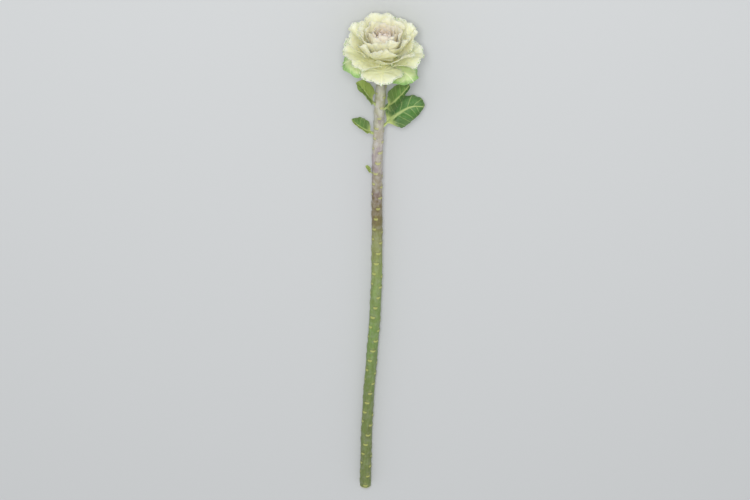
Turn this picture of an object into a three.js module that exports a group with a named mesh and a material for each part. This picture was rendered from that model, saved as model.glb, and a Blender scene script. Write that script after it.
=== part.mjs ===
// One cut stem of ornamental kale, lying on a flat surface: a woody stem with its leaf scars, a head
// of nested white leaves round a closed heart, a collar of green leaves, and small leaves on the neck.
//
// Millimetres. +X runs from the cut end to the head and +Z is up. The origin is under the middle of
// the part, on the surface that it lies on.
//
// The head has a frame of its own: z runs up the head's axis, x points away from the surface, and an
// azimuth turns from x round z. Every head leaf lies in its own layer of one family of nested bowls,
// so that no two leaves meet.
import * as THREE from 'three';

const { degToRad, lerp, clamp, smoothstep } = THREE.MathUtils;

// ---- Driving dimensions ------------------------------------------------------------------------

const STEM = {
  run: 640, // from the cut end to the base of the head, along X
  footRadius: 7.4,
  neckRadius: 6.6,
  footHeight: 7.6, // of the centreline at the cut end, above the surface
  rise: 15, // of the centreline over the whole run
  neckRise: 23, // further rise, nearly all of it in the bend below the head
  neckBend: 9, // how late that bend comes
  bow: 8, // sideways
  sway: 2.2,
  swayTurns: 1.6,
};

const SCAR = {
  pitch: 10, // between one leaf scar and the next, up the stem
  height: 0.9,
  below: 6, // how far the shoulder under a scar reaches
  spread: 38, // degrees
};

// The stem's end inside the head: radius at a height up the head's axis.
const CORE = [
  [6, -4],
  [6, 0],
  [5.4, 6],
  [4, 11],
  [2.2, 16],
  [0.6, 19.5],
];

// Spiral order: each leaf is this far round from the one inside it.
const LEAF_TURN = 137.5;

// The midrib of a head leaf starts at (radius, height) and bends through three angles, in degrees
// above the plane of the head. The rows run from the heart outwards, and layer 1 is the last white leaf.
const LAYERS = [
  { layer: 0.0, radius: 1.3, height: 19.5, length: 23, start: 50, middle: 95, end: 120, halfAngle: 78 },
  { layer: 0.25, radius: 3.1, height: 16.0, length: 30, start: 30, middle: 83, end: 112, halfAngle: 62 },
  { layer: 0.5, radius: 4.9, height: 12.0, length: 41, start: 18, middle: 73, end: 88, halfAngle: 56 },
  { layer: 0.72, radius: 6.3, height: 7.0, length: 49, start: 8, middle: 60, end: 64, halfAngle: 54 },
  { layer: 0.86, radius: 6.8, height: 3.0, length: 49, start: 1, middle: 42, end: 28, halfAngle: 52 },
  { layer: 1.0, radius: 7.1, height: 0.0, length: 47, start: -6, middle: 11, end: -16, halfAngle: 50 },
  { layer: 1.2, radius: 7.3, height: -6.0, length: 45, start: -16, middle: -3, end: -64, halfAngle: 42 },
];

const WHITE_LEAVES = 28;
const COLLAR_LEAVES = 4;
const BASE_WIDTH = 9; // of a head leaf where it joins the core
const LEAF_THICKNESS = 0.7;
const MARGIN_TAPER = 0.5; // how much of its thickness a leaf loses by its margin
const HEAD_SHOULDER = 0.6; // how far a leaf's side rays reach, as a share of its middle one
const NECK_SHOULDER = 0.42;

// The ruffles of the head leaves. A layer's waves are turned a little from those of the next layer, so
// that the leaves nest.
const RUFFLE = { waves: 8, twist: 10.5, inner: 0.4, outer: 3.0 };

const HEART = { radius: 3.2, halfHeight: 8, height: 29 };

// Leaves on the neck. distance is down the stem from the head's base, side is the azimuth, and twist is
// how far the blade turns about its midrib, in degrees.
const NECK_LEAVES = [
  { name: 'neck_leaf_left', distance: 66, side: 294, length: 42, halfWidth: 13, twist: -36,
    start: 52, middle: 56, end: 40, fold: 0.45, ruffle: 1.2 },
  { name: 'neck_leaf_right', distance: 72, side: 62, length: 54, halfWidth: 15, twist: 48,
    start: 44, middle: 56, end: 62, fold: 0.35, ruffle: 1.2 },
  { name: 'neck_leaf_far', distance: 98, side: 98, length: 58, halfWidth: 18, twist: 62,
    start: 46, middle: 34, end: -14, fold: 0.2, ruffle: 1.6 },
  { name: 'stem_leaf', distance: 110, side: 278, length: 34, halfWidth: 10, twist: -25,
    start: 22, middle: 38, end: 50, fold: 0.8, ruffle: 0.4 },
  { name: 'sprout', distance: 165, side: 292, length: 12, halfWidth: 4, twist: -40,
    start: 46, middle: 60, end: 30, fold: 0.3, ruffle: 0.2 },
];

const NECK_WAVES = 5;

// Where the leaves press on the surface they bend: below this height they are lifted, never lower than
// floor, and the tip slides back under the head by this share of the lift.
const PRESS = { height: 4, floor: 0.6, slide: 0.8 };

// ---- Materials ---------------------------------------------------------------------------------

function leafMaterial(colour) {
  return new THREE.MeshStandardMaterial({ color: colour, roughness: 0.55, metalness: 0 });
}

const MATERIALS = {
  heart: leafMaterial(0xf3dfcf),
  inner: leafMaterial(0xf5ead3),
  white: leafMaterial(0xeff0d2),
  collar: leafMaterial(0x9cc083),
  green: leafMaterial(0x5f9440),
  stem: new THREE.MeshStandardMaterial({ color: 0x9aa183, roughness: 0.6, metalness: 0 }),
};

// ---- Placing -----------------------------------------------------------------------------------

// The stem's centreline, from the cut end to the base of the head.
class StemPath extends THREE.Curve {
  getPoint(t, target = new THREE.Vector3()) {
    const sway = STEM.sway * Math.sin(2 * Math.PI * STEM.swayTurns * t);
    const height = STEM.footHeight + STEM.rise * t + STEM.neckRise * t ** STEM.neckBend;
    return target.set(STEM.run * t, STEM.bow * t * t + sway, height);
  }
}

const path = new StemPath();

// A frame on the centreline: z along the stem, x away from the surface.
function frameOnStem(t) {
  const along = path.getTangent(t);
  const away = new THREE.Vector3(0, 0, 1).projectOnPlane(along).normalize();
  const side = new THREE.Vector3().crossVectors(along, away);
  return new THREE.Matrix4().makeBasis(away, side, along).setPosition(path.getPoint(t));
}

// Bends a point of a leaf up from the surface. The point is in the frame that matrix places.
function pressed(point, matrix) {
  const placed = point.clone().applyMatrix4(matrix);
  if (placed.z < PRESS.height) {
    const depth = PRESS.height - PRESS.floor;
    const height = PRESS.floor + depth * Math.exp((placed.z - PRESS.height) / depth);
    placed.x -= PRESS.slide * (height - placed.z);
    placed.z = height;
  }
  return placed.applyMatrix4(matrix.clone().invert());
}

// A number from -1 to 1 that differs from leaf to leaf, the same in every run.
function varied(index, kind) {
  const wave = Math.sin(index * 12.9898 + kind * 78.233) * 43758.5453;
  return 2 * (wave - Math.floor(wave)) - 1;
}

// ---- Leaves ------------------------------------------------------------------------------------

// Points along a midrib that starts at (radius, height) and turns from start, through middle, to end.
function midribPoints({ radius, height, length, start, middle, end }, steps = 48) {
  const points = [new THREE.Vector2(radius, height)];
  for (let i = 0; i < steps; i++) {
    const s = (i + 0.5) / steps;
    const rise = lerp(start, middle, smoothstep(s, 0, 0.62));
    const angle = degToRad(rise + (end - middle) * smoothstep(s, 0.5, 1));
    const step = new THREE.Vector2(Math.cos(angle), Math.sin(angle)).multiplyScalar(length / steps);
    points.push(points[i].clone().add(step));
  }
  return points;
}

// The place on a midrib at a share s of its length, and the inner side's normal there.
function alongMidrib(points, s) {
  const scaled = clamp(s, 0, 1) * (points.length - 1);
  const i = Math.min(Math.floor(scaled), points.length - 2);
  const place = points[i].clone().lerp(points[i + 1], scaled - i);
  const forward = points[i + 1].clone().sub(points[i]).normalize();
  return { place, normal: new THREE.Vector2(-forward.y, forward.x) };
}

// A leaf is a fan of rays. across runs from -1 to 1 over the rays, and along from 0 to 1 up each ray.
// The side rays end lower than the middle one, which rounds the blade.
function rayReach(across, shoulder) {
  return shoulder + (1 - shoulder) * Math.sqrt(Math.max(0, 1 - across * across));
}

// How much of its ruffle a leaf has at a place: none at the base, and all of it on the outer margin.
function ruffleShare(across, along) {
  return along * (along ** 2 + across ** 4 - along ** 2 * across ** 4);
}

// The values of a head leaf's layer, from the two rows of LAYERS on either side of it.
function layerValues(layer) {
  const above = LAYERS.findIndex((row) => row.layer >= layer);
  const i = above < 1 ? 1 : above;
  const share = (layer - LAYERS[i - 1].layer) / (LAYERS[i].layer - LAYERS[i - 1].layer);
  const values = {};
  for (const key of Object.keys(LAYERS[0])) {
    values[key] = lerp(LAYERS[i - 1][key], LAYERS[i][key], share);
  }
  return values;
}

// The whole head's rim rises and falls a little, so that it isn't a turned shape.
function headWave(radius, azimuth) {
  const share = (radius / 50) ** 2;
  return share * (2.2 * Math.sin(2 * azimuth + 1.1) + 1.4 * Math.sin(3 * azimuth - 0.4));
}

// The middle surface of head leaf number index, as a function of (across, along).
function headLeafSurface(index) {
  const layer = index / (WHITE_LEAVES - 1);
  const values = layerValues(layer);
  values.length *= 1 + 0.05 * varied(index, 1);
  const points = midribPoints(values);
  const azimuth = degToRad((index - WHITE_LEAVES + 1) * LEAF_TURN);
  const halfAngle = degToRad(values.halfAngle * (1 + 0.07 * varied(index, 2)));
  const baseAngle = Math.min(BASE_WIDTH / 2 / values.radius, 0.7 * halfAngle);
  const ruffle = lerp(RUFFLE.inner, RUFFLE.outer, smoothstep(layer, 0.1, 0.8));
  return (across, along) => {
    const s = along * rayReach(across, HEAD_SHOULDER);
    const { place, normal } = alongMidrib(points, s);
    const turn = azimuth + across * lerp(baseAngle, halfAngle, smoothstep(along, 0, 0.62));
    const wave = Math.sin(RUFFLE.waves * turn + RUFFLE.twist * layer);
    const lift = ruffle * ruffleShare(across, along) * wave;
    const radius = place.x + normal.x * lift;
    const height = place.y + normal.y * lift + headWave(radius, turn);
    return new THREE.Vector3(radius * Math.cos(turn), radius * Math.sin(turn), height);
  };
}

// The middle surface of a leaf on the neck, in the frame of its place on the stem.
function neckLeafSurface(leaf, stemRadius) {
  const points = midribPoints({ ...leaf, radius: stemRadius + 0.7, height: 0 });
  const side = degToRad(leaf.side);
  const outward = new THREE.Vector3(Math.cos(side), Math.sin(side), 0);
  const sideways = new THREE.Vector3(-Math.sin(side), Math.cos(side), 0);
  const stalk = Math.min(2, 0.35 * leaf.halfWidth);
  return (across, along) => {
    const { place, normal } = alongMidrib(points, along * rayReach(across, NECK_SHOULDER));
    const width = across * lerp(stalk, leaf.halfWidth, smoothstep(along, 0.12, 0.7));
    const wave = Math.sin(NECK_WAVES * Math.asin(across) + 0.5);
    const lift = leaf.fold * Math.abs(width) + leaf.ruffle * ruffleShare(across, along) * wave;
    const twist = degToRad(leaf.twist) * smoothstep(along, 0.05, 0.45);
    const beside = width * Math.cos(twist) - lift * Math.sin(twist);
    const raised = width * Math.sin(twist) + lift * Math.cos(twist);
    const point = outward.clone().multiplyScalar(place.x + normal.x * raised);
    return point.addScaledVector(sideways, beside).setZ(place.y + normal.y * raised);
  };
}

function geometryFrom(points, faces) {
  const geometry = new THREE.BufferGeometry().setFromPoints(points);
  geometry.setIndex(faces.flat());
  geometry.computeVertexNormals();
  return geometry;
}

// A thin closed solid round a surface(across, along), which matrix places so that it can be pressed.
// Its two sides stand off along the sheet's own vertex normals and are split along the same diagonals,
// mirrored about the midrib, so that they never meet.
function leafGeometry(surface, matrix, { columns, rows, thickness }) {
  const middle = [];
  const halves = [];
  for (let row = 0; row <= rows; row++) {
    for (let column = 0; column <= columns; column++) {
      const across = Math.sin((Math.PI / 2) * ((2 * column) / columns - 1));
      const along = row / rows;
      middle.push(pressed(surface(across, along), matrix));
      const margin = 1 - (1 - across ** 4) * (1 - along ** 4);
      halves.push((thickness / 2) * (1 - MARGIN_TAPER * margin));
    }
  }
  const at = (row, column) => row * (columns + 1) + column;
  const sheet = [];
  for (let row = 0; row < rows; row++) {
    for (let column = 0; column < columns; column++) {
      const [a, b, c, d] = [at(row, column), at(row, column + 1), at(row + 1, column + 1), at(row + 1, column)];
      const leftHalf = column < columns / 2;
      sheet.push(...(leftHalf ? [[a, b, d], [b, c, d]] : [[a, b, c], [a, c, d]]));
    }
  }
  const normals = geometryFrom(middle, sheet).getAttribute('normal');
  const standOff = (share) =>
    middle.map((point, i) => {
      const normal = new THREE.Vector3().fromBufferAttribute(normals, i);
      return point.clone().addScaledVector(normal, share * halves[i]);
    });
  const within = middle.length;
  const faces = [...sheet, ...sheet.map(([a, b, c]) => [c + within, b + within, a + within])];
  const closeEdge = (from, to) => {
    faces.push([to, from, from + within], [to, from + within, to + within]);
  };
  for (let row = 0; row < rows; row++) {
    closeEdge(at(row + 1, 0), at(row, 0));
    closeEdge(at(row, columns), at(row + 1, columns));
  }
  for (let column = 0; column < columns; column++) {
    closeEdge(at(0, column), at(0, column + 1));
    closeEdge(at(rows, column + 1), at(rows, column));
  }
  return geometryFrom([...standOff(1), ...standOff(-1)], faces);
}

// ---- Stem --------------------------------------------------------------------------------------

// The scars' shoulders: how far the bark stands out at a distance up the stem and an azimuth.
function scarHeight(distance, azimuth) {
  const first = Math.floor(distance / SCAR.pitch) - 1;
  let height = 0;
  for (let scar = Math.max(0, first); scar <= first + 3; scar++) {
    const over = distance - (scar + 0.5) * SCAR.pitch;
    const reach = over < 0 ? SCAR.below : SCAR.below / 4;
    const turn = degToRad(scar * LEAF_TURN) - azimuth;
    const round = Math.atan2(Math.sin(turn), Math.cos(turn)) / degToRad(SCAR.spread);
    height = Math.max(height, SCAR.height * Math.exp(-((over / reach) ** 2) - round * round));
  }
  return height;
}

function stemRadius(distance) {
  return lerp(STEM.footRadius, STEM.neckRadius, smoothstep(distance, 0, 0.8 * STEM.run));
}

function stemGeometry(sides) {
  const points = [];
  const addRing = (matrix, height, radiusAt) => {
    for (let side = 0; side < sides; side++) {
      const azimuth = (2 * Math.PI * side) / sides;
      const radius = radiusAt(azimuth);
      const point = new THREE.Vector3(radius * Math.cos(azimuth), radius * Math.sin(azimuth), height);
      points.push(point.applyMatrix4(matrix));
    }
  };
  const lastScar = Math.floor((STEM.run - 10) / SCAR.pitch) - 1;
  const distances = [0];
  for (let scar = 0; scar <= lastScar; scar++) {
    distances.push((scar + 0.5) * SCAR.pitch, (scar + 0.75) * SCAR.pitch);
  }
  for (const distance of distances) {
    const radiusAt = (azimuth) => stemRadius(distance) + scarHeight(distance, azimuth);
    addRing(frameOnStem(distance / STEM.run), 0, radiusAt);
  }
  const head = frameOnStem(1);
  for (const [radius, height] of CORE) {
    addRing(head, height, () => radius);
  }
  const rings = points.length / sides;
  const faces = [];
  for (let ring = 0; ring < rings - 1; ring++) {
    for (let side = 0; side < sides; side++) {
      const here = ring * sides + side;
      const beside = ring * sides + ((side + 1) % sides);
      faces.push([here, beside, beside + sides], [here, beside + sides, here + sides]);
    }
  }
  const foot = points.push(path.getPoint(0)) - 1;
  const tip = points.push(new THREE.Vector3(0, 0, CORE.at(-1)[1] + 0.3).applyMatrix4(head)) - 1;
  const lastRing = (rings - 1) * sides;
  for (let side = 0; side < sides; side++) {
    const next = (side + 1) % sides;
    faces.push([foot, next, side], [tip, lastRing + side, lastRing + next]);
  }
  return geometryFrom(points, faces);
}

// ---- The part ----------------------------------------------------------------------------------

function namedMesh(name, geometry, material) {
  const mesh = new THREE.Mesh(geometry, material);
  mesh.name = name;
  return mesh;
}

function groupAt(matrix) {
  const group = new THREE.Group();
  matrix.decompose(group.position, group.quaternion, group.scale);
  return group;
}

function headMaterial(index) {
  if (index < 5) return MATERIALS.heart;
  if (index < 13) return MATERIALS.inner;
  return index < WHITE_LEAVES ? MATERIALS.white : MATERIALS.collar;
}

function makeHead() {
  const matrix = frameOnStem(1);
  const head = groupAt(matrix);
  const heart = new THREE.SphereGeometry(1, 10, 8).rotateX(Math.PI / 2);
  heart.scale(HEART.radius, HEART.radius, HEART.halfHeight);
  const bud = namedMesh('heart_bud', heart, MATERIALS.heart);
  bud.position.z = HEART.height;
  head.add(bud);
  for (let index = 0; index < WHITE_LEAVES + COLLAR_LEAVES; index++) {
    const white = index < WHITE_LEAVES;
    const number = String(white ? index + 1 : index + 1 - WHITE_LEAVES).padStart(2, '0');
    const name = (white ? 'head_leaf_' : 'collar_leaf_') + number;
    const size = { columns: 10, rows: index < 8 ? 5 : 6, thickness: LEAF_THICKNESS };
    head.add(namedMesh(name, leafGeometry(headLeafSurface(index), matrix, size), headMaterial(index)));
  }
  return head;
}

function makeNeckLeaf(leaf) {
  const distance = STEM.run - leaf.distance;
  const matrix = frameOnStem(distance / STEM.run);
  const place = groupAt(matrix);
  const surface = neckLeafSurface(leaf, stemRadius(distance) + SCAR.height);
  const small = leaf.length < 20;
  const size = { columns: small ? 4 : 8, rows: small ? 3 : 6, thickness: LEAF_THICKNESS };
  place.add(namedMesh(leaf.name, leafGeometry(surface, matrix, size), MATERIALS.green));
  return place;
}

const kale = new THREE.Group();
kale.add(namedMesh('stem', stemGeometry(12), MATERIALS.stem));
kale.add(makeHead());
for (const leaf of NECK_LEAVES) {
  kale.add(makeNeckLeaf(leaf));
}

const box = new THREE.Box3().setFromObject(kale, true);
const middle = box.getCenter(new THREE.Vector3());
kale.position.set(-middle.x, -middle.y, -box.min.z);

export default kale;
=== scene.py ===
"""One cut stem of white ornamental kale, lying on a pale floor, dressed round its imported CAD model."""

import math

import bpy
import numpy as np
from mathutils import Matrix, Vector


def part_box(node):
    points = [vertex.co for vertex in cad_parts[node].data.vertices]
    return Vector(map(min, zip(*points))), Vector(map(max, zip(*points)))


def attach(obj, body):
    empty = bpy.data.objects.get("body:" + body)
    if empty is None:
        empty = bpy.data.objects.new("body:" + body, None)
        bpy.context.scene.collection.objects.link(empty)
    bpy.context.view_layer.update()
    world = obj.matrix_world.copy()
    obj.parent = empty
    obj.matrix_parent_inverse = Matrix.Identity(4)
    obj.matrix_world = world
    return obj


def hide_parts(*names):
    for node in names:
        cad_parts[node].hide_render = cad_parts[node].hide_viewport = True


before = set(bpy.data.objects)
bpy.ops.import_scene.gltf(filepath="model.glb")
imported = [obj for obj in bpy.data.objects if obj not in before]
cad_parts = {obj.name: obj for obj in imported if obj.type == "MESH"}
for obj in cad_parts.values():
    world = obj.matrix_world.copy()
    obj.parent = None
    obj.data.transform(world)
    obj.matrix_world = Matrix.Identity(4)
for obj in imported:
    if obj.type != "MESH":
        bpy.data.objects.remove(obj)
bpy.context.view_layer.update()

MM = 0.001  # every length below is in millimetres, and becomes metres where a mesh is made

# ---- The plant's form, as the solids have it ----------------------------------------------------

STEM = {
    "run": 640.0,
    "foot_radius": 7.4,
    "neck_radius": 6.6,
    "foot_height": 7.6,
    "rise": 15.0,
    "neck_rise": 23.0,
    "neck_bend": 9.0,
    "bow": 8.0,
    "sway": 2.2,
    "sway_turns": 1.6,
}
SCAR = {"pitch": 10.0, "height": 0.9, "below": 6.0, "above": 1.7, "spread": math.radians(38), "end_gap": 12}
# Leaf scars come twice as close as the solid's steps, which are every second one of them.
SCAR_PITCH = SCAR["pitch"] / 2
SCAR_TURN = math.radians(137.5 / 2 + 180)

# The stem's end inside the head: (radius, height up the head's axis).
CORE = ((6.0, -4.0), (6.0, 0.0), (5.4, 6.0), (4.0, 11.0), (2.2, 16.0), (0.6, 19.5))

LEAF_TURN = math.radians(137.5)

# layer, radius, height, length, start, middle and end angle of the midrib, half angle of the blade.
LAYERS = np.array(
    [
        (0.0, 1.3, 19.5, 23, 50, 95, 120, 78),
        (0.25, 3.1, 16.0, 30, 30, 83, 112, 62),
        (0.5, 4.9, 12.0, 41, 18, 73, 88, 56),
        (0.72, 6.3, 7.0, 49, 8, 60, 64, 54),
        (0.86, 6.8, 3.0, 49, 1, 42, 28, 52),
        (1.0, 7.1, 0.0, 47, -6, 11, -16, 50),
        (1.2, 7.3, -6.0, 45, -16, -3, -64, 42),
    ]
)
WHITE_LEAVES = 28
COLLAR_LEAVES = 4
BASE_WIDTH = 9.0
HEAD_SHOULDER = 0.6
NECK_SHOULDER = 0.42
WAVE = {"count": 8, "twist": 10.5, "inner": 0.4, "outer": 3.0}
HEART = {"radius": 3.2, "half_height": 8.0, "height": 29.0}

# Leaves on the neck: distance down the stem from the head, azimuth, length, half width, the midrib's
# three angles, fold, height of the waves, and how far the blade turns about its midrib.
NECK_LEAVES = {
    "neck_leaf_left": (66, 294, 42, 13, 52, 56, 40, 0.45, 1.2, -36),
    "neck_leaf_right": (72, 62, 54, 15, 44, 56, 62, 0.35, 1.2, 48),
    "neck_leaf_far": (98, 98, 58, 18, 46, 34, -14, 0.2, 1.6, 62),
    "stem_leaf": (110, 278, 34, 10, 22, 38, 50, 0.8, 0.4, -25),
    "sprout": (165, 292, 12, 4, 46, 60, 30, 0.3, 0.2, -40),
}
# How deep a neck leaf's green is on either side of its midrib, from 0 to 1.
NECK_TONES = {
    "neck_leaf_left": (0.1, 0.45),
    "neck_leaf_right": (0.95, 0.7),
    "neck_leaf_far": (1.0, 1.0),
    "stem_leaf": (0.75, 0.1),
    "sprout": (0.0, 0.0),
}
NECK_WAVES = 5
PRESS = {"height": 4.0, "floor": 0.6, "slide": 0.8}


def smooth(value, low, high):
    """0 up to low and 1 from high on, with a soft step between. low may be the greater of the two."""
    t = np.clip((value - low) / (high - low), 0.0, 1.0)
    return t * t * (3 - 2 * t)


def mix(low, high, share):
    """The value that share of the way from low to high."""
    return low + (high - low) * share


def varied(index, kind):
    """A number from -1 to 1 that looks like chance, and is the same on every run."""
    wave = math.sin(index * 12.9898 + kind * 78.233) * 43758.5453
    return 2 * (wave - math.floor(wave)) - 1


def stem_point(t):
    """The stem's centreline, that share of the way from the cut to the head."""
    sway = STEM["sway"] * np.sin(2 * np.pi * STEM["sway_turns"] * t)
    height = STEM["foot_height"] + STEM["rise"] * t + STEM["neck_rise"] * t ** STEM["neck_bend"]
    return np.stack([STEM["run"] * t, STEM["bow"] * t * t + sway, height], axis=-1)


def frame_on_stem(t):
    """Columns: away from the floor, sideways, along the stem, and the place on the centreline."""
    step = 1e-4
    along = stem_point(min(t + step, 1.0)) - stem_point(max(t - step, 0.0))
    along /= np.linalg.norm(along)
    away = np.array([0.0, 0.0, 1.0]) - along[2] * along
    away /= np.linalg.norm(away)
    matrix = np.eye(4)
    matrix[:3, 0] = away
    matrix[:3, 1] = np.cross(along, away)
    matrix[:3, 2] = along
    matrix[:3, 3] = stem_point(t)
    return matrix


def placed(points, matrix):
    return points @ matrix[:3, :3].T + matrix[:3, 3]


def pressed(points):
    """Bends up what reaches the floor."""
    depth = PRESS["height"] - PRESS["floor"]
    below = np.minimum(points[..., 2] - PRESS["height"], 0)
    height = np.where(below < 0, PRESS["floor"] + depth * np.exp(below / depth), points[..., 2])
    lift = height - points[..., 2]
    return np.stack([points[..., 0] - PRESS["slide"] * lift, points[..., 1], height], axis=-1)


HEAD = frame_on_stem(1.0)


def frame_offset():
    """From this script's millimetres to the part's own frame: the heart bud is at both."""
    low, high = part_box("heart_bud")
    middle = np.array((low + high) / 2) / MM
    return middle - placed(np.array([0.0, 0.0, HEART["height"]]), HEAD)


OFFSET = frame_offset()


# ---- Meshes -------------------------------------------------------------------------------------


def add_mesh(node, points, faces, material, attributes, uvs=None):
    """A shaded piece that stands for a CAD node. points are placed millimetres."""
    name = "fine_" + node
    mesh = bpy.data.meshes.new(name)
    mesh.from_pydata((points + OFFSET) * MM, [], faces)
    for key, values in attributes.items():
        values = np.asarray(values, np.float32)
        kind, field = ("FLOAT", "value") if values.ndim == 1 else ("FLOAT_VECTOR", "vector")
        mesh.attributes.new(key, kind, "POINT").data.foreach_set(field, values.ravel())
    if uvs is not None:
        layer = mesh.uv_layers.new(name="OFBake")
        layer.data.foreach_set("uv", np.asarray(uvs, np.float32).ravel())
    mesh.shade_smooth()
    mesh.materials.append(material)
    piece = bpy.data.objects.new(name, mesh)
    bpy.context.scene.collection.objects.link(piece)
    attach(piece, "root")
    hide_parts(node)
    return piece


# ---- Leaves -------------------------------------------------------------------------------------


def midrib(radius, height, length, start, middle, end, steps=400):
    """Points along a midrib, and the inner side's normal at each."""
    s = (np.arange(steps) + 0.5) / steps
    rise = mix(start, middle, smooth(s, 0, 0.62)) + (end - middle) * smooth(s, 0.5, 1)
    angle = np.radians(rise)
    step = np.stack([np.cos(angle), np.sin(angle)], axis=-1) * length / steps
    points = np.concatenate([[[radius, height]], [radius, height] + np.cumsum(step, axis=0)])
    ends = np.linspace(0, 1, steps + 1)
    turned = np.interp(ends, s, angle)
    normals = np.stack([-np.sin(turned), np.cos(turned)], axis=-1)
    root = points[:1] - 0.2 * length * step[:1] / np.linalg.norm(step[0])
    ends, points = np.append(-0.2, ends), np.concatenate([root, points])
    return ends, points, np.concatenate([normals[:1], normals])


def read_midrib(rib, s):
    """The place and the normal at shares s of a midrib."""
    ends, points, normals = rib
    place = [np.interp(s, ends, points[:, k]) for k in (0, 1)]
    normal = [np.interp(s, ends, normals[:, k]) for k in (0, 1)]
    return place, normal


def ray_reach(across, shoulder):
    """How much of the midrib's length a blade has: all in its middle, down to shoulder at its sides."""
    return shoulder + (1 - shoulder) * np.sqrt(np.maximum(0, 1 - across**2))


def wave_share(across, along):
    """How much of a leaf's wave is felt at a place: none at its base, and all at its margin."""
    return along * (along**2 + across**4 - along**2 * across**4)


def head_wave(radius, azimuth):
    """How far the whole head is lifted or sunk, that far out and round from its axis."""
    share = (radius / 50) ** 2
    return share * (2.2 * np.sin(2 * azimuth + 1.1) + 1.4 * np.sin(3 * azimuth - 0.4))


class HeadLeaf:
    """A leaf of the head: its middle surface as a function of (across, along)."""

    def __init__(self, index):
        self.layer = index / (WHITE_LEAVES - 1)
        values = [np.interp(self.layer, LAYERS[:, 0], LAYERS[:, k]) for k in range(1, 8)]
        self.length = values[2] * (1 + 0.05 * varied(index, 1))
        self.rib = midrib(values[0], values[1], self.length, *values[3:6])
        self.azimuth = (index - WHITE_LEAVES + 1) * LEAF_TURN
        self.half_angle = math.radians(values[6] * (1 + 0.07 * varied(index, 2)))
        self.base_angle = min(BASE_WIDTH / 2 / values[0], 0.7 * self.half_angle)
        self.wave = mix(WAVE["inner"], WAVE["outer"], smooth(self.layer, 0.1, 0.8))
        self.shoulder = HEAD_SHOULDER
        self.root = min(2.5, 0.6 * values[0]) / self.length
        self.matrix = HEAD

    def turn(self, along):
        return mix(self.base_angle, self.half_angle, smooth(along, 0, 0.62))

    def surface(self, across, along, ray):
        place, normal = read_midrib(self.rib, along * ray)
        azimuth = self.azimuth + across * self.turn(along)
        wave = np.sin(WAVE["count"] * azimuth + WAVE["twist"] * self.layer)
        lift = self.wave * wave_share(across, along) * wave
        radius = place[0] + normal[0] * lift
        height = place[1] + normal[1] * lift + head_wave(radius, azimuth)
        return np.stack([radius * np.cos(azimuth), radius * np.sin(azimuth), height], axis=-1)

    def half_width(self, along, ray):
        place, _ = read_midrib(self.rib, along * ray)
        return place[0] * self.turn(along)


class NeckLeaf:
    """A leaf on the stem below the head."""

    def __init__(self, distance, side, length, half_width, start, middle, end, fold, wave, twist):
        stem_distance = STEM["run"] - distance
        self.length, self.width, self.fold, self.wave = length, half_width, fold, wave
        radius = stem_radius(stem_distance) + SCAR["height"] + 0.7
        self.rib = midrib(radius, 0.0, length, start, middle, end)
        side = math.radians(side)
        self.outward = np.array([math.cos(side), math.sin(side), 0.0])
        self.sideways = np.array([-math.sin(side), math.cos(side), 0.0])
        self.stalk = min(2.0, 0.35 * half_width)
        self.twist = math.radians(twist)
        self.shoulder = NECK_SHOULDER
        self.root = min(6.0 / length, 0.19)
        self.matrix = frame_on_stem(stem_distance / STEM["run"])

    def surface(self, across, along, ray):
        place, normal = read_midrib(self.rib, along * ray)
        width = across * self.half_width(along, ray)
        wave = np.sin(NECK_WAVES * 1.4 * across + 0.5)
        lift = self.fold * (np.hypot(width, 0.8) - 0.8) + self.wave * wave_share(across, along) * wave
        turn = self.twist * smooth(along, 0.05, 0.45)
        beside = width * np.cos(turn) - lift * np.sin(turn)
        raised = width * np.sin(turn) + lift * np.cos(turn)
        outward = (place[0] + normal[0] * raised)[..., None] * self.outward
        up = (place[1] + normal[1] * raised)[..., None] * np.array([0.0, 0.0, 1.0])
        return outward + up + beside[..., None] * self.sideways

    def half_width(self, along, ray):
        return mix(self.stalk, self.width, smooth(along, 0.12, 0.7)) + 0 * ray


def unit(vectors):
    """Vectors of length one. One that has no length, as where a leaf narrows to a point, stays as it is."""
    return vectors / np.maximum(np.linalg.norm(vectors, axis=-1, keepdims=True), 1e-12)


def inward_normals(leaf, across, along, ray):
    """Normals of a leaf's plain surface, on its side towards the head's or the stem's own middle."""
    step = 1e-4
    over_across = leaf.surface(across + step, along, ray) - leaf.surface(across - step, along, ray)
    over_along = leaf.surface(across, along + step, ray) - leaf.surface(across, along, ray)
    return unit(np.cross(over_along, over_across))


SIDE_VEINS = 6.0  # on each side of a leaf


def veins(leaf, x, y, phase):
    """How many midrib widths a place is from the midrib, and how many side veins from the leaf's base."""
    share = np.clip(y / leaf.length, 0, 1)
    beside = np.abs(x) / (0.5 + 0.05 * leaf.length * (1 - share) ** 1.3)
    wander = 0.9 * np.sin(0.22 * x + phase) + 0.7 * np.sin(0.31 * y + 0.17 * x + 2 * phase)
    climb = y - 0.75 * np.abs(x) + 0.35 * x**2 / leaf.length + wander
    return beside, SIDE_VEINS * climb / leaf.length + np.where(x > 0, 0.4, 0)


# How the margin frills: (length of a wave round the leaf, height, how far in they reach).
FRILLS = ((17, 1.8, 11.0), (8.5, 0.8, 7.0))
# How its outline swings in and out: (length of a wave round the leaf, height).
LOBES = ((21, 0.7), (9, 0.55))
TEETH = {"pitch": 4.6, "height": 0.6}
MARGIN = {
    "swing_reach": 4.0,  # how far in the outline's swing is felt
    "rounding": 1.5,  # of lines of equal inset, where the tip's meet the side's
    "least_width": 3,  # half width that the swing is worked out with near the base
    "hub": 0.42,  # what the waves go round, as a share of the leaf's length
    "crowding": 1.25,  # of the grid's rows towards the tip
}
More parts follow.
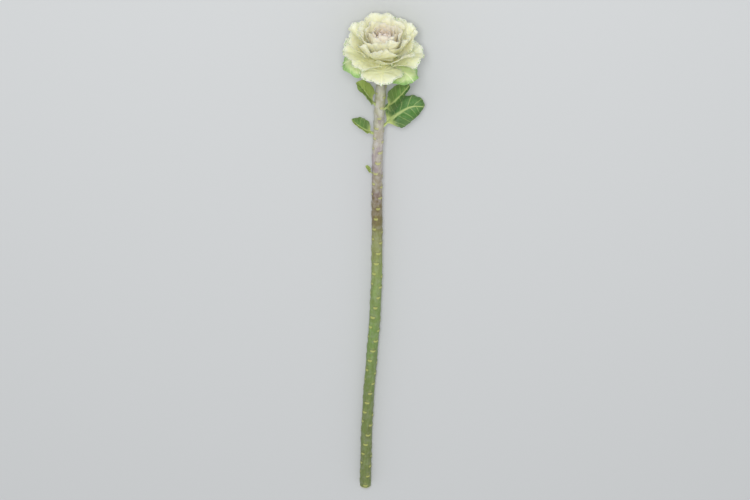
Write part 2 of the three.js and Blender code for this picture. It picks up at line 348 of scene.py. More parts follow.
# A leaf's two shoulders are its grid's upper corners, where the lines bunch up. The margin is still at a
# shoulder, and has its full waves from "calm" on. The lines are evened out in that many passes, in full
# out to "whole" from a shoulder and then less and less out to "reach".
CORNER = {"calm": 7.0, "reach": 12.0, "whole": 6.0, "passes": 60}
BLISTER = 0.5  # height between two side veins
# From the middle sheet to a side: at the margin, how much more on the blade, the midrib, and the rim.
THICKNESS = {"margin": 0.14, "more": 0.18, "midrib": 0.85, "rim": 0.12}


def relaxed(sheet, share):
    """Moves a grid's points towards the middle of their neighbours, by that share."""
    share = share[1:-1, 1:-1, None]
    for _ in range(CORNER["passes"]):
        between = (sheet[:-2, 1:-1] + sheet[2:, 1:-1] + sheet[1:-1, :-2] + sheet[1:-1, 2:]) / 4
        sheet[1:-1, 1:-1] = mix(sheet[1:-1, 1:-1], between, share)
    return sheet


def waves_round(leaf, length):
    """How many waves of about that length go round a leaf."""
    return max(3, round(2 * (leaf.length + leaf.half_width(0.8, 1.0)) / length))


def outward_shares(across, width, leaf):
    """How much of a leaf's outward direction at its margin is sideways, and how much is up the leaf."""
    sideways = (1 - leaf.shoulder) * leaf.length * np.abs(across)
    up = width * np.sqrt(np.maximum(0, 1 - across**2))
    size = np.maximum(np.hypot(sideways, up), 1e-9)
    return sideways / size, up / size


def leaf_grid(leaf, columns, rows):
    """Where a leaf's grid is on its surface. Its lines come closer towards the margin."""
    across = np.sin(np.pi / 2 * np.linspace(-1, 1, columns + 1))[None, :]
    along = 1 - (1 + leaf.root) * (1 - np.linspace(0, 1, rows + 1)[:, None]) ** MARGIN["crowding"]
    return np.broadcast_arrays(across, along)


def inside_margin(across, along, ray, width, out_along, leaf):
    """How far inside the margin a place is, rounded off where the tip's side meets the blade's."""
    to_tip = (1 - along) * ray * leaf.length * out_along
    to_side = (1 - np.abs(across)) * width
    soft = MARGIN["rounding"]
    return np.maximum(-soft * np.log(np.exp(-to_tip / soft) + np.exp(-to_side / soft)), 0)


def outline_swing(leaf, around, phases):
    """How far the margin is outside the plain outline: lobes, and blunt teeth."""
    swing = sum(h * np.sin(waves_round(leaf, n) * around + phases[2 + k]) for k, (n, h) in enumerate(LOBES))
    tooth = 0.5 - np.abs(np.sin(waves_round(leaf, TEETH["pitch"]) / 2 * around + phases[4]))
    return swing + TEETH["height"] * tooth * (0.7 + 0.3 * np.sin(5 * around + phases[5]))


def frill_lift(leaf, around, inset, frill, phases):
    """How far the frill lifts the blade. It fades inwards, and swells and sinks round the leaf."""
    lift = 0
    for k, (length, height, depth) in enumerate(FRILLS):
        swell = 0.65 + 0.35 * np.sin(3 * around + phases[6 + k])
        wave = np.sin(waves_round(leaf, length) * around + phases[9 + k])
        lift = lift + frill * height * swell * wave * np.exp(-((inset / depth) ** 1.4))
    return lift


def blister_lift(x, y, count, inset, relief, phases):
    """How far the blade swells between its side veins."""
    between = np.sin(np.pi * count) ** 2
    patch = 0.6 + 0.4 * np.sin(0.5 * x + phases[12]) * np.sin(0.4 * y + phases[13])
    return BLISTER * relief * between * smooth(inset, 1, 7) * patch


def two_sides(middle, inward, along, inset, beside, relief):
    """The inner and the outer side of a blade, off its middle sheet, with the midrib and veins raised."""
    half = THICKNESS["margin"] + THICKNESS["more"] * smooth(inset, 0, 4)
    rib = np.exp(-(beside**2))
    stout = 0.1 + 0.4 * relief * smooth(along, 0.3, 0.0)
    inner = middle + inward * (half + stout * rib)[..., None]
    outer = middle - inward * (half + relief * THICKNESS["midrib"] * rib * (1 - 0.6 * along))[..., None]
    return inner, outer


def rounded_rim(middle, loop, inside):
    """A line just outside the middle sheet's edge, which the two sides meet in."""
    flat = middle.reshape(-1, 3)
    out = flat[loop] - flat[inside]
    out /= np.maximum(np.linalg.norm(out, axis=-1, keepdims=True), 1e-9)
    return flat[loop] + THICKNESS["rim"] * out


def leaf_attributes(values, loop):
    """What the material reads: each value on the inner side, the outer side and the rim."""
    size = values["inset"].size
    attributes = {}
    for key, value in values.items():
        value = value.reshape(size, *value.shape[2:])
        attributes[key] = np.concatenate([value, value, value[loop]])
    attributes["inner"] = np.concatenate([np.ones(size), np.zeros(size), np.full(len(loop), 0.5)])
    return attributes


def dress_leaf(node, leaf, seed, material, slot, columns, rows, frill, relief, tone):
    """Builds a leaf as a thin closed shell with veins, blisters, a frilled margin and teeth."""
    rng = np.random.default_rng(seed)
    phases = rng.uniform(0, 2 * np.pi, 16)
    across, along = leaf_grid(leaf, columns, rows)
    ray = ray_reach(across, leaf.shoulder)

    # Where each place is on the flattened blade, how far inside the margin, and which way round.
    width = leaf.half_width(along, ray)
    at_least = np.maximum(width, MARGIN["least_width"])
    x, y = across * width, along * ray * leaf.length
    out_across, out_along = outward_shares(across, at_least, leaf)
    inset = inside_margin(across, along, ray, width, out_along, leaf)
    around = np.arctan2(x, y - MARGIN["hub"] * leaf.length)
    around = around + 0.13 * np.sin(2 * around + phases[0]) + 0.05 * np.sin(5 * around + phases[1])

    # The outline and the relief both fade out towards the leaf's base and its two shoulders.
    grown = smooth(along, 0.15, 0.5)
    from_corner = np.hypot(np.abs(x) - x[-1, -1], y - y[-1, -1])
    calm = smooth(from_corner, 0.0, CORNER["calm"])
    swing = frill * outline_swing(leaf, around, phases)
    swing = swing * grown * calm * np.exp(-inset / MARGIN["swing_reach"])
    along_out = along + swing * out_along / (ray * leaf.length)
    across_out = across + np.sign(across) * swing * out_across / at_least

    # The middle sheet, evened out at the shoulders with all that is known of each place.
    inward = inward_normals(leaf, across_out, along_out, ray)
    beside, count = veins(leaf, x, y, phases[14])
    lift = frill_lift(leaf, around, inset, frill, phases)
    lift = (lift + blister_lift(x, y, count, inset, relief, phases)) * grown * calm
    middle = leaf.surface(across_out, along_out, ray) + inward * lift[..., None]
    corner = smooth(from_corner, CORNER["reach"], CORNER["whole"])
    sheet = relaxed(np.dstack([middle, inward, x, y, inset, beside, count]), corner)
    middle, inward = sheet[..., :3], unit(sheet[..., 3:6])
    x, y, inset, beside, count = np.moveaxis(sheet[..., 6:], -1, 0)

    loop = rim_loop(rows, columns)
    inner, outer = two_sides(middle, inward, along, inset, beside, relief)
    rim = rounded_rim(middle, loop, rim_inside(rows, columns))
    points = np.concatenate([inner.reshape(-1, 3), outer.reshape(-1, 3), rim])
    points = pressed(placed(points, leaf.matrix))
    faces, uvs = shell_faces(rows, columns, loop)
    veined = smooth(y / leaf.length, 0.02, 0.15)
    values = {
        "inset": inset,
        "up": y / leaf.length,
        "tone": mix(tone[0], tone[1], smooth(x, -0.8, 0.8)),
        "veins": np.stack([beside, count, veined], axis=-1),
        "blade": np.stack([x, y, np.full(x.shape, 10.0 * phases[15])], axis=-1),
    }
    return add_mesh(node, points, faces, material, leaf_attributes(values, loop), uvs)


def rim_loop(rows, columns):
    """Indices round the margin of a grid: up its left side, over its top, down, and back."""
    at = np.arange((rows + 1) * (columns + 1)).reshape(rows + 1, columns + 1)
    return np.concatenate([at[:-1, 0], at[-1, :-1], at[:0:-1, -1], at[0, :0:-1]])


def rim_inside(rows, columns):
    """For each index of rim_loop, the one that is next to it inside the grid."""
    at = np.arange((rows + 1) * (columns + 1)).reshape(rows + 1, columns + 1)
    row, column = np.divmod(rim_loop(rows, columns), columns + 1)
    return at[np.clip(row, 1, rows - 1), np.clip(column, 1, columns - 1)]


def shell_faces(rows, columns, loop):
    """The faces of a shell, and the place of each of their corners on its UV map."""
    at = np.arange((rows + 1) * (columns + 1)).reshape(rows + 1, columns + 1)
    inner = np.stack([at[:-1, :-1], at[1:, :-1], at[1:, 1:], at[:-1, 1:]], axis=-1).reshape(-1, 4)
    count = at.size
    outer = inner[:, [0, 3, 2, 1]] + count
    here, ahead = np.arange(len(loop)), np.roll(np.arange(len(loop)), -1)
    rim = 2 * count
    upper = np.stack([loop[ahead], loop[here], rim + here, rim + ahead], axis=-1)
    lower = np.stack([rim + ahead, rim + here, loop[here] + count, loop[ahead] + count], axis=-1)
    row, column = np.divmod(np.arange(count), columns + 1)
    grid = np.stack([column / columns, row / rows], axis=-1) * 0.94 + 0.03
    beyond = grid[loop] + (grid[loop] - grid[rim_inside(rows, columns)]) * 0.6
    shrink, side = np.array([0.5, 1.0]), np.array([0.5, 0.0])
    on_inner = np.concatenate([grid, grid, beyond]) * shrink
    on_outer = on_inner + side
    uvs = np.concatenate([on_inner[inner], on_outer[outer], on_inner[upper], on_outer[lower]])
    return np.concatenate([inner, outer, upper, lower]).tolist(), uvs.reshape(-1, 2)


# ---- Stem ---------------------------------------------------------------------------------------


def stem_radius(distance):
    """The plain stem's radius, that far from the cut."""
    return mix(STEM["foot_radius"], STEM["neck_radius"], smooth(distance, 0, 0.8 * STEM["run"]))


# How far round and along a leaf scar's crescent goes, and how its two lines curve up at the ends.
CRESCENT = {"half_width": 3.9, "curve": 0.06, "half_height": 1.5}
BUD = {"above": 3.0, "radius": 1.3}
# Rings of the cut face: (share of its radius, how far the face is sunk there).
CUT_RINGS = ((0.04, 0.55), (0.2, 0.5), (0.4, 0.45), (0.6, 0.3), (0.75, 0.1), (0.88, 0.02), (0.965, 0.0))
SCARS_AWAY = 3  # how many scars off, up or down the stem, still shape a place
STEM_HEIGHTS = {"shoulder": 1.25, "crescent": -0.25, "outline": 0.1, "bud": 0.8}
STEM_MASKS = ("crescent", "outline", "bud")
STEM_RINGS = 560
STEM_SIDES = 72


def near_scars(distance, azimuth):
    """For each place on the stem, its offset from every scar near it: angle, sideways and along."""
    radius = stem_radius(distance)
    first = np.floor(distance / SCAR_PITCH).astype(int) - SCARS_AWAY
    last_scar = math.floor((STEM["run"] - SCAR["end_gap"]) / SCAR_PITCH) - 1
    for step in range(2 * SCARS_AWAY + 1):
        scar = np.clip(first + step, 0, last_scar)
        over = distance - (scar + 1) * SCAR_PITCH
        turn = azimuth - scar * SCAR_TURN
        turn = np.arctan2(np.sin(turn), np.cos(turn))
        yield scar, turn, turn * radius, over


def stem_relief(distance, azimuth):
    """Height over the plain stem, and the masks that it and the stem's colour are made from."""
    shoulder = np.zeros_like(distance)
    crescent = np.zeros_like(distance)
    outline = np.zeros_like(distance)
    bud = np.zeros_like(distance)
    for scar, turn, sideways, over in near_scars(distance, azimuth):
        strength = 0.75 + 0.35 * np.sin(scar * 2.4)
        reach = np.where(over < 0, SCAR["below"], SCAR["above"])
        step = strength * np.exp(-((over / reach) ** 2) - (turn / SCAR["spread"]) ** 2)
        shoulder = np.maximum(shoulder, step)
        size = 0.85 + 0.15 * np.sin(scar * 1.7)
        across = np.abs(sideways) / (CRESCENT["half_width"] * size)
        level = over + 1.0 - CRESCENT["curve"] * sideways**2
        away = np.hypot(level / CRESCENT["half_height"], across**3)
        crescent = np.maximum(crescent, 1 - smooth(away, 0.45, 1.25))
        outline = np.maximum(outline, np.exp(-(((away - 1.3) / 0.28) ** 2)))
        to_bud = np.hypot(sideways, over - BUD["above"]) / BUD["radius"]
        bud = np.maximum(bud, np.exp(-(to_bud**2)) * (scar % 3 != 1))
    masks = {"shoulder": shoulder, "crescent": crescent, "outline": outline, "bud": bud}
    return sum(STEM_HEIGHTS[key] * mask for key, mask in masks.items()), masks


def stem_ribs(distance, azimuth):
    """Shallow grooves that run up the stem and wander a little."""
    wander = 0.5 * np.sin(distance / 37.0) + 0.3 * np.sin(distance / 13.0)
    groove = 0.13 * np.sin(5 * azimuth + wander) + 0.05 * np.sin(13 * azimuth - 2 * wander)
    return groove + 0.12 * np.sin(2 * azimuth + distance / 70.0)


def dress_stem(material):
    """The bare stem with its leaf scars, its cut face, and the core that the head leaves grow from."""
    sides = np.arange(STEM_SIDES) * 2 * np.pi / STEM_SIDES
    rings = []
    values = {key: [] for key in (*STEM_MASKS, "along", "face")}

    def add_ring(points, along, face, masks=None):
        rings.append(points)
        values["along"].append(np.full(STEM_SIDES, along))
        values["face"].append(np.full(STEM_SIDES, face))
        for key in STEM_MASKS:
            values[key].append(masks[key] if masks else np.zeros(STEM_SIDES))

    def circle(matrix, radius, height=0.0):
        ring = [radius * np.cos(sides), radius * np.sin(sides), np.full(STEM_SIDES, height)]
        return placed(np.stack(ring, axis=-1), matrix)

    foot = frame_on_stem(0.0)
    edge, _ = stem_relief(np.zeros(STEM_SIDES), sides)
    for share, sunk in CUT_RINGS:
        add_ring(circle(foot, share * (STEM["foot_radius"] + edge), sunk), 0.0, share)
    for step in range(STEM_RINGS + 1):
        distance = STEM["run"] * step / STEM_RINGS
        places = np.full(STEM_SIDES, distance)
        height, masks = stem_relief(places, sides)
        fade = smooth(distance, 0, 2)
        radius = stem_radius(places) + height + stem_ribs(places, sides) * fade
        matrix = frame_on_stem(distance / STEM["run"])
        add_ring(circle(matrix, radius, 0.35 * (step == 0)), distance / STEM["run"], 1.0 * (step == 0), masks)
    for radius, height in CORE[1:]:
        add_ring(circle(HEAD, radius, height + 0.02), 1.0, 0.0)

    points = np.concatenate(rings)
    at = np.arange(len(points)).reshape(-1, STEM_SIDES)
    beside = np.roll(at, -1, axis=1)
    faces = np.stack([at[:-1], beside[:-1], beside[1:], at[1:]], axis=-1).reshape(-1, 4).tolist()
    faces += [at[0, ::-1].tolist(), at[-1].tolist()]
    attributes = {key: np.concatenate(value) for key, value in values.items()}
    return add_mesh("stem", points, faces, material, attributes)


HEART_GRID = (36, 48)


def dress_heart(material):
    """The furled bud in the middle of the head, pleated where its own leaves fold over each other."""
    rows, columns = HEART_GRID
    up = np.linspace(0.03, 0.985, rows)[:, None]
    turn = np.linspace(0, 2 * np.pi, columns, endpoint=False)[None, :]
    radius = HEART["radius"] * np.sin(np.pi * up) ** 0.8
    pleat = 1 + 0.10 * np.sin(5 * turn + 3.0 * up) * np.sin(np.pi * up)
    pleat = pleat + 0.05 * np.sin(11 * turn - 4.0 * up)
    height = HEART["height"] - HEART["half_height"] * np.cos(np.pi * up)
    ring = [radius * pleat * np.cos(turn), radius * pleat * np.sin(turn), height + 0 * turn]
    points = placed(np.stack(ring, axis=-1).reshape(-1, 3), HEAD)
    at = np.arange(rows * columns).reshape(rows, columns)
    beside = np.roll(at, -1, axis=1)
    faces = np.stack([at[:-1], beside[:-1], beside[1:], at[1:]], axis=-1).reshape(-1, 4).tolist()
    faces += [at[0, ::-1].tolist(), at[-1].tolist()]
    count = len(points)
    attributes = {
        "inset": np.full(count, 1.5),
        "up": np.broadcast_to(up, (rows, columns)).reshape(-1),
        "tone": np.zeros(count),
        "veins": np.tile([9.0, 0.5, 0.0], (count, 1)),
        "blade": points,
        "inner": np.zeros(count),
    }
    return add_mesh("heart_bud", points, faces, material, attributes)


# ---- Materials ----------------------------------------------------------------------------------


def linear(red, green, blue):
    """A colour as it is seen, 0 to 255, as the shader wants it."""
    shares = (value / 255 for value in (red, green, blue))
    return tuple(((c + 0.055) / 1.055) ** 2.4 if c > 10 / 255 else c / 12.92 for c in shares) + (1.0,)


class Nodes:
    """Short names for the shader nodes that the materials are made of."""

    def __init__(self, name):
        self.material = bpy.data.materials.new(name)
        self.material.use_nodes = True
        self.tree = self.material.node_tree
        self.shader = self.tree.nodes["Principled BSDF"]

    def node(self, kind, **settings):
        node = self.tree.nodes.new(kind)
        for key, value in settings.items():
            setattr(node, key, value)
        return node

    def join(self, value, socket):
        if isinstance(value, bpy.types.NodeSocket):
            self.tree.links.new(value, socket)
        else:
            socket.default_value = value

    def attribute(self, name, output="Fac"):
        return self.node("ShaderNodeAttribute", attribute_name=name).outputs[output]

    def parts(self, vector):
        node = self.node("ShaderNodeSeparateXYZ")
        self.join(vector, node.inputs[0])
        return node.outputs

    def math(self, operation, first, second=0.0):
        node = self.node("ShaderNodeMath", operation=operation)
        self.join(first, node.inputs[0])
        self.join(second, node.inputs[1])
        return node.outputs[0]

    def times(self, first, second):
        return self.math("MULTIPLY", first, second)

    def plus(self, first, second):
        return self.math("ADD", first, second)

    def steps(self, value, low, high, first=0.0, last=1.0):
        """From first, where the value is low, to last, where it is high."""
        node = self.node("ShaderNodeMapRange", interpolation_type="SMOOTHSTEP")
        self.join(value, node.inputs["Value"])
        for key, number in (("From Min", low), ("From Max", high), ("To Min", first), ("To Max", last)):
            self.join(number, node.inputs[key])
        return node.outputs["Result"]

    def blend(self, share, first, second, kind="MIX"):
        node = self.node("ShaderNodeMix", data_type="RGBA", blend_type=kind)
        self.join(share, node.inputs["Factor"])
        self.join(first, node.inputs["A"])
        self.join(second, node.inputs["B"])
        return node.outputs["Result"]

    def noise(self, scale, detail=3.0, stretch=(1, 1, 1)):
        """Noise in the part's own millimetres, from 0 to 1."""
        place = self.node("ShaderNodeTexCoord").outputs["Object"]
        mapping = self.node("ShaderNodeMapping")
        mapping.inputs["Scale"].default_value = [share / MM for share in stretch]
        self.join(place, mapping.inputs["Vector"])
        node = self.node("ShaderNodeTexNoise")
        self.join(mapping.outputs["Vector"], node.inputs["Vector"])
        node.inputs["Scale"].default_value = scale
        node.inputs["Detail"].default_value = detail
        return node.outputs["Fac"]

    def cracks(self, place, cell, width):
        """A net of lines round irregular cells: 1 on a line, and 0 inside a cell."""
        node = self.node("ShaderNodeTexVoronoi", feature="DISTANCE_TO_EDGE")
        self.join(place, node.inputs["Vector"])
        node.inputs["Scale"].default_value = 1.0 / cell
        return self.steps(node.outputs["Distance"], width, 0.0)

    def bump(self, height, strength, distance):
        node = self.node("ShaderNodeBump")
        self.join(height, node.inputs["Height"])
        node.inputs["Strength"].default_value = strength
        node.inputs["Distance"].default_value = distance * MM
        self.join(node.outputs["Normal"], self.shader.inputs["Normal"])

    def set(self, name, value):
        self.join(value, self.shader.inputs[name])

    def let_light_in(self, share, colours, depth):
        """How much light goes in, how far of each of its colours, and how many millimetres deep."""
        self.set("Subsurface Weight", share)
        self.set("Subsurface Radius", colours)
        self.set("Subsurface Scale", depth * MM)


# Colours of a leaf's margin, blade, base, veins and back, and of the blade where the leaf is younger.
LEAF_COLOURS = {
    "heart": (
        (251, 234, 214), (251, 230, 210), (250, 224, 206),
        (251, 234, 215), (251, 230, 210), (251, 226, 208),
    ),
    "inner": (
        (250, 242, 218), (250, 240, 210), (249, 236, 200),
        (251, 243, 217), (249, 239, 208), (251, 232, 210),
    ),
    "white": (
        (244, 244, 216), (240, 241, 200), (240, 237, 168),
        (244, 245, 206), (239, 240, 198), (247, 242, 208),
    ),
    "collar": (
        (128, 176, 98), (200, 220, 160), (226, 232, 182),
        (230, 236, 196), (166, 198, 140), (200, 220, 160),
    ),
    "green": (
        (66, 106, 50), (80, 128, 60), (186, 200, 120),
        (192, 208, 136), (118, 158, 112), (150, 172, 88),
    ),
}
# How far up a leaf the colour of its base reaches, from 0 to 1.
BASE_REACH = {"heart": 0.55, "inner": 0.55, "white": 0.55, "collar": 0.55, "green": 0.34}
VEIN = 3  # the place of the veins' colour in such a row
MARGIN_SPECKS = (122, 170, 98)  # green, on the outermost pale leaves
NET = {"cell": 2.3, "width": 0.09}  # of the fine net between the side veins
# The span of a slot's leaves: in the head from the heart, 0, to the rim, 1, and on the neck their green.
TONES = {
    "heart": (0.0, 0.18),
    "inner": (0.18, 0.46),
    "white": (0.46, 0.95),
    "collar": (1.0, 1.2),
    "green": (0.0, 1.0),
}


def leaf_veins(nodes):
    """The midrib, the side veins that branch from it, and the fine net between them, each from 0 to 1."""
    beside, count, veined = nodes.parts(nodes.attribute("veins", "Vector"))
    rib = nodes.steps(beside, 1.5, 0.4)
    outward = nodes.steps(nodes.attribute("inset"), 0.5, 9.0, 0.05, 0.1)
    side_veins = nodes.steps(nodes.math("PINGPONG", count, 0.5), outward, 0.0)
    side_veins = nodes.times(side_veins, veined)
    wobble = nodes.node("ShaderNodeTexNoise")
    blade = nodes.attribute("blade", "Vector")
    nodes.join(blade, wobble.inputs["Vector"])
    wobble.inputs["Scale"].default_value = 0.5
    place = nodes.node("ShaderNodeVectorMath", operation="ADD")
    nodes.join(blade, place.inputs[0])
    nodes.join(wobble.outputs["Color"], place.inputs[1])
    return rib, side_veins, nodes.cracks(place.outputs[0], NET["cell"], NET["width"])


def blade_colour(nodes, name):
    """From the margin over the blade to the base, with green specks on an outer leaf, and a duller back."""
    margin, blade, base, _, back, young = (linear(*colour) for colour in LEAF_COLOURS[name])
    patches = nodes.noise(0.11, 2.0)
    inset = nodes.plus(nodes.attribute("inset"), nodes.times(patches, 3.0))
    age = nodes.steps(nodes.attribute("tone"), *TONES[name])
    blade = nodes.blend(age, young, blade)
    back = nodes.blend(age, young, back)
    if name == "green":
        margin = nodes.blend(age, young, margin)
    colour = nodes.blend(nodes.steps(inset, 2.2, 9.0), margin, blade)
    up = nodes.plus(nodes.attribute("up"), nodes.times(patches, 0.12))
    colour = nodes.blend(nodes.steps(up, BASE_REACH[name], 0.12), colour, base)
    if name == "white":
        specks = nodes.steps(nodes.noise(0.45, 2.0), 0.5, 0.58)
        specks = nodes.times(specks, nodes.steps(inset, 5.0, 2.5))
        specks = nodes.times(specks, nodes.times(age, 0.85))
        colour = nodes.blend(specks, colour, linear(*MARGIN_SPECKS))
    side = nodes.steps(nodes.attribute("inner"), 0.3, 0.7, 0.55, 0.0)
    return nodes.blend(side, colour, back)


def leaf_material(name, translucent):
    """A blade with paler veins, uneven in its shade and its gloss, with fine relief."""
    nodes = Nodes("kale_" + name)
    vein = linear(*LEAF_COLOURS[name][VEIN])
    fine = nodes.noise(0.9, 4.0)
    colour = blade_colour(nodes, name)
    rib, side_veins, net = leaf_veins(nodes)
    drawn = nodes.math("MAXIMUM", nodes.times(rib, 0.8), nodes.times(side_veins, 0.55))
    drawn = nodes.math("MAXIMUM", drawn, nodes.times(net, 0.1))
    colour = nodes.blend(drawn, colour, vein)
    shade = nodes.blend(nodes.steps(fine, 0.3, 0.7), (0.965, 0.965, 0.955, 1), (1, 1, 1, 1))
    nodes.set("Base Color", nodes.blend(1.0, colour, shade, "MULTIPLY"))
    nodes.set("Roughness", nodes.steps(fine, 0.2, 0.8, 0.46, 0.62))
    nodes.set("Specular IOR Level", 0.42)
    nodes.let_light_in(translucent, (1.0, 0.9, 0.65), 3.0)
    relief = nodes.times(nodes.noise(1.6, 5.0), 0.25)
    relief = nodes.plus(relief, nodes.times(side_veins, 0.8))
    relief = nodes.plus(relief, nodes.times(net, 0.14))
    nodes.bump(relief, 0.5, 0.45)
    return nodes.material


# Where the stem's colour changes on the way up from the cut, from 0 to 1, and to what.
STEM_ZONES = (
    (0.12, 0.42, (122, 152, 80)),
    (0.38, 0.58, (144, 158, 92)),
    (0.52, 0.68, (124, 110, 72)),
    (0.68, 0.79, (186, 180, 166)),
    (0.80, 0.88, (194, 194, 170)),
    (0.93, 1.00, (196, 202, 164)),
)
STEM_COLOURS = {
    "foot": (116, 132, 72),
    "lilac": (154, 134, 158),
    "dull": (226, 222, 214),
    "clear": (255, 255, 255),
    "bloom": (206, 204, 204),
    "scar_line": (86, 72, 62),
    "scar": (186, 190, 108),
    "bud": (150, 150, 88),
    "speck": (92, 84, 62),
    "pith": (214, 216, 176),
    "wood": (196, 192, 140),
    "rind": (140, 162, 92),
    "stain": (176, 164, 116),
}


def cut_face(nodes, paint):
    """How far out on the cut face a place is, 0 if it isn't on it, and the face's pith, wood and rind."""
    face = nodes.attribute("face")
    cut = nodes.blend(nodes.steps(face, 0.52, 0.62), paint["pith"], paint["wood"])
    cut = nodes.blend(nodes.steps(face, 0.84, 0.93), cut, paint["rind"])
    return face, nodes.blend(nodes.steps(nodes.noise(1.1, 3.0), 0.45, 0.75, 0.0, 0.35), cut, paint["stain"])


def stem_material():
    """Green at the cut, then olive, and pale grey with lilac patches by the head, with yellow leaf scars."""
    nodes = Nodes("kale_stem")
    paint = {name: linear(*colour) for name, colour in STEM_COLOURS.items()}
    wander = nodes.times(nodes.math("SUBTRACT", nodes.noise(0.03, 3.0), 0.5), 0.16)
    along = nodes.plus(nodes.attribute("along"), wander)
    streak = nodes.noise(0.25, 4.0, (0.18, 1.0, 1.0))
    colour = paint["foot"]
    for low, high, zone in STEM_ZONES:
        colour = nodes.blend(nodes.steps(along, low, high), colour, linear(*zone))
    lilac = nodes.steps(nodes.noise(0.07, 3.0, (0.5, 1.0, 1.0)), 0.5, 0.62)
    lilac = nodes.times(lilac, nodes.steps(along, 0.64, 0.74, 0.0, 0.5))
    colour = nodes.blend(lilac, colour, paint["lilac"])
    dull = nodes.blend(nodes.steps(streak, 0.38, 0.66), paint["dull"], paint["clear"])
    colour = nodes.blend(0.8, colour, dull, "MULTIPLY")
    bloom = nodes.steps(nodes.noise(0.16, 4.0), 0.42, 0.7)
    bloom = nodes.times(bloom, nodes.steps(along, 0.55, 0.85, 0.1, 0.45))
    colour = nodes.blend(bloom, colour, paint["bloom"])
    for mask, share, tint in (("outline", 0.5, "scar_line"), ("crescent", 0.8, "scar"), ("bud", 0.5, "bud")):
        colour = nodes.blend(nodes.times(nodes.attribute(mask), share), colour, paint[tint])
    specks = nodes.steps(nodes.noise(0.85, 1.0), 0.66, 0.72, 0.0, 0.5)
    colour = nodes.blend(specks, colour, paint["speck"])
    face, cut = cut_face(nodes, paint)
    nodes.set("Base Color", nodes.blend(nodes.steps(face, 0.0, 0.02), colour, cut))
    nodes.set("Roughness", nodes.steps(streak, 0.3, 0.7, 0.42, 0.6))
    nodes.let_light_in(0.12, (1.0, 0.85, 0.5), 1.5)
    nodes.bump(nodes.noise(0.8, 5.0, (0.3, 1.0, 1.0)), 0.5, 0.2)
    return nodes.material


def plain_material(name, colour, roughness):
    nodes = Nodes(name)
    nodes.set("Base Color", linear(*colour))
    nodes.set("Roughness", roughness)
    return nodes.material


# ---- The object ---------------------------------------------------------------------------------


# Where each slot's leaves end, counted from the heart.
SLOTS = ((5, "heart"), (13, "inner"), (WHITE_LEAVES, "white"), (WHITE_LEAVES + COLLAR_LEAVES, "collar"))
TRANSLUCENT = {"heart": 0.75, "inner": 0.75, "white": 0.7, "collar": 0.45, "green": 0.2}
# How many columns and rows a leaf's grid has. The innermost leaves are small.
SMALL_LEAVES = 8
GRIDS = {"small": (64, 34), "large": (116, 56), "neck": (90, 70), "sprout": (40, 36)}
# How much a neck leaf has of the frill, and of the veins' and blisters' height.
NECK_SHARES = {"frill": 0.6, "relief": 1.6}
SPROUT_SHARES = {"frill": 0.25, "relief": 0.6}
HEAD_SEED = 100
NECK_SEED = 300

materials = {name: leaf_material(name, share) for name, share in TRANSLUCENT.items()}


def dress_head_leaf(index):
    """A leaf of the head or its collar. Frill and relief grow from the heart outwards."""
    leaf = HeadLeaf(index)
    slot = next(name for end, name in SLOTS if index < end)
    collar = index - WHITE_LEAVES
    node = f"collar_leaf_{collar + 1:02d}" if collar >= 0 else f"head_leaf_{index + 1:02d}"
    grid = GRIDS["small" if index < SMALL_LEAVES else "large"]
    frill = float(mix(0.25, 1.0, smooth(leaf.layer, 0.1, 0.75)))
    relief = float(mix(0.3, 1.0, smooth(leaf.layer, 0.2, 0.9)))
    tone = (leaf.layer, leaf.layer)
    dress_leaf(node, leaf, HEAD_SEED + index, materials[slot], slot, *grid, frill, relief, tone)


def dress_neck_leaf(order, node):
    """A green leaf on the stem below the head, or the sprout."""
    leaf = NeckLeaf(*NECK_LEAVES[node])
    sprout = node == "sprout"
    grid = GRIDS["sprout" if sprout else "neck"]
    share = SPROUT_SHARES if sprout else NECK_SHARES
    green = materials["green"]
    dress_leaf(node, leaf, NECK_SEED + order, green, "green", *grid, **share, tone=NECK_TONES[node])


dress_stem(stem_material())
dress_heart(materials["heart"])
for index in range(WHITE_LEAVES + COLLAR_LEAVES):
    dress_head_leaf(index)
for order, node in enumerate(NECK_LEAVES):
    dress_neck_leaf(order, node)


# ---- Floor, light and camera --------------------------------------------------------------------


FLOOR = {"size": 8, "colour": (200, 202, 203), "roughness": 0.7}
WORLD = {"colour": (0.98, 0.99, 1.0, 1.0), "strength": 0.62, "seen": 0.58}
KEY = {"place": (1.25, 0.12, 2.5), "size": (0.8, 0.8), "power": 41, "aim": (0.15, 0, 0.03)}
CAMERA = {
    "tilt": math.radians(20),
    "roll": math.radians(3),
    "distance": 3.0,
    "lens": 115,
    "aim": (0.017, 0.0, 0.02),
}
HEAD_MIDDLE = Vector((placed(np.array([0.0, 0.0, 12.0]), HEAD) + OFFSET) * MM)


def add_floor(size, colour, roughness):
    bpy.ops.mesh.primitive_plane_add(size=size, location=(0, 0, 0))
    floor = bpy.context.object
    floor.name = "floor"
    floor.data.materials.append(plain_material("floor", colour, roughness))


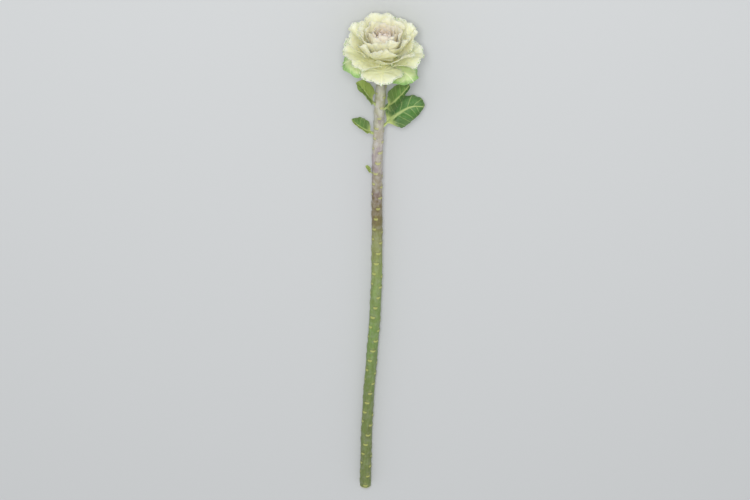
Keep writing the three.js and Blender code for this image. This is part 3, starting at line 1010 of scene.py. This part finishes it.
def add_area(name, place, size, power, aim):
    """A lamp at a place, turned to what it is aimed at."""
    lamp = bpy.data.lights.new(name, "AREA")
    lamp.shape = "RECTANGLE"
    lamp.size, lamp.size_y = size
    lamp.energy = power
    piece = bpy.data.objects.new(name, lamp)
    bpy.context.scene.collection.objects.link(piece)
    piece.location = place
    piece.rotation_euler = (Vector(aim) - Vector(place)).to_track_quat("-Z", "Y").to_euler()


def add_world(colour, strength, seen):
    """Lights from all round, and is as pale as the floor where the camera or a reflection sees it."""
    world = bpy.data.worlds.new("world")
    world.use_nodes = True
    bpy.context.scene.world = world
    tree = world.node_tree
    back = tree.nodes["Background"]
    back.inputs["Color"].default_value = colour
    path = tree.nodes.new("ShaderNodeLightPath")
    looked_at = path.outputs["Is Camera Ray"]
    for kind in ("Is Glossy Ray", "Is Transmission Ray"):
        either = tree.nodes.new("ShaderNodeMath")
        either.operation = "MAXIMUM"
        tree.links.new(looked_at, either.inputs[0])
        tree.links.new(path.outputs[kind], either.inputs[1])
        looked_at = either.outputs[0]
    level = tree.nodes.new("ShaderNodeMapRange")
    level.inputs["To Min"].default_value = strength
    level.inputs["To Max"].default_value = seen
    tree.links.new(looked_at, level.inputs["Value"])
    tree.links.new(level.outputs["Result"], back.inputs["Strength"])


def add_camera(tilt, roll, distance, lens, aim):
    """Looks down on the head from that far off, tilted towards its end of the stem."""
    camera = bpy.data.cameras.new("camera")
    camera.lens = lens
    camera.sensor_width = 36
    camera.clip_end = 20
    piece = bpy.data.objects.new("camera", camera)
    bpy.context.scene.collection.objects.link(piece)
    place = HEAD_MIDDLE + distance * Vector((math.sin(tilt), 0, math.cos(tilt)))
    back = (place - Vector(aim)).normalized()
    up = Vector((1, 0, 0)) - back.x * back
    up = Matrix.Rotation(roll, 3, back) @ up.normalized()
    right = up.cross(back)
    turn = Matrix((right, up, back)).transposed().to_4x4()
    piece.matrix_world = Matrix.Translation(place) @ turn
    bpy.context.scene.camera = piece


add_floor(**FLOOR)
add_world(**WORLD)
add_area("key", **KEY)
add_camera(**CAMERA)
bpy.context.scene.view_settings.view_transform = "Standard"
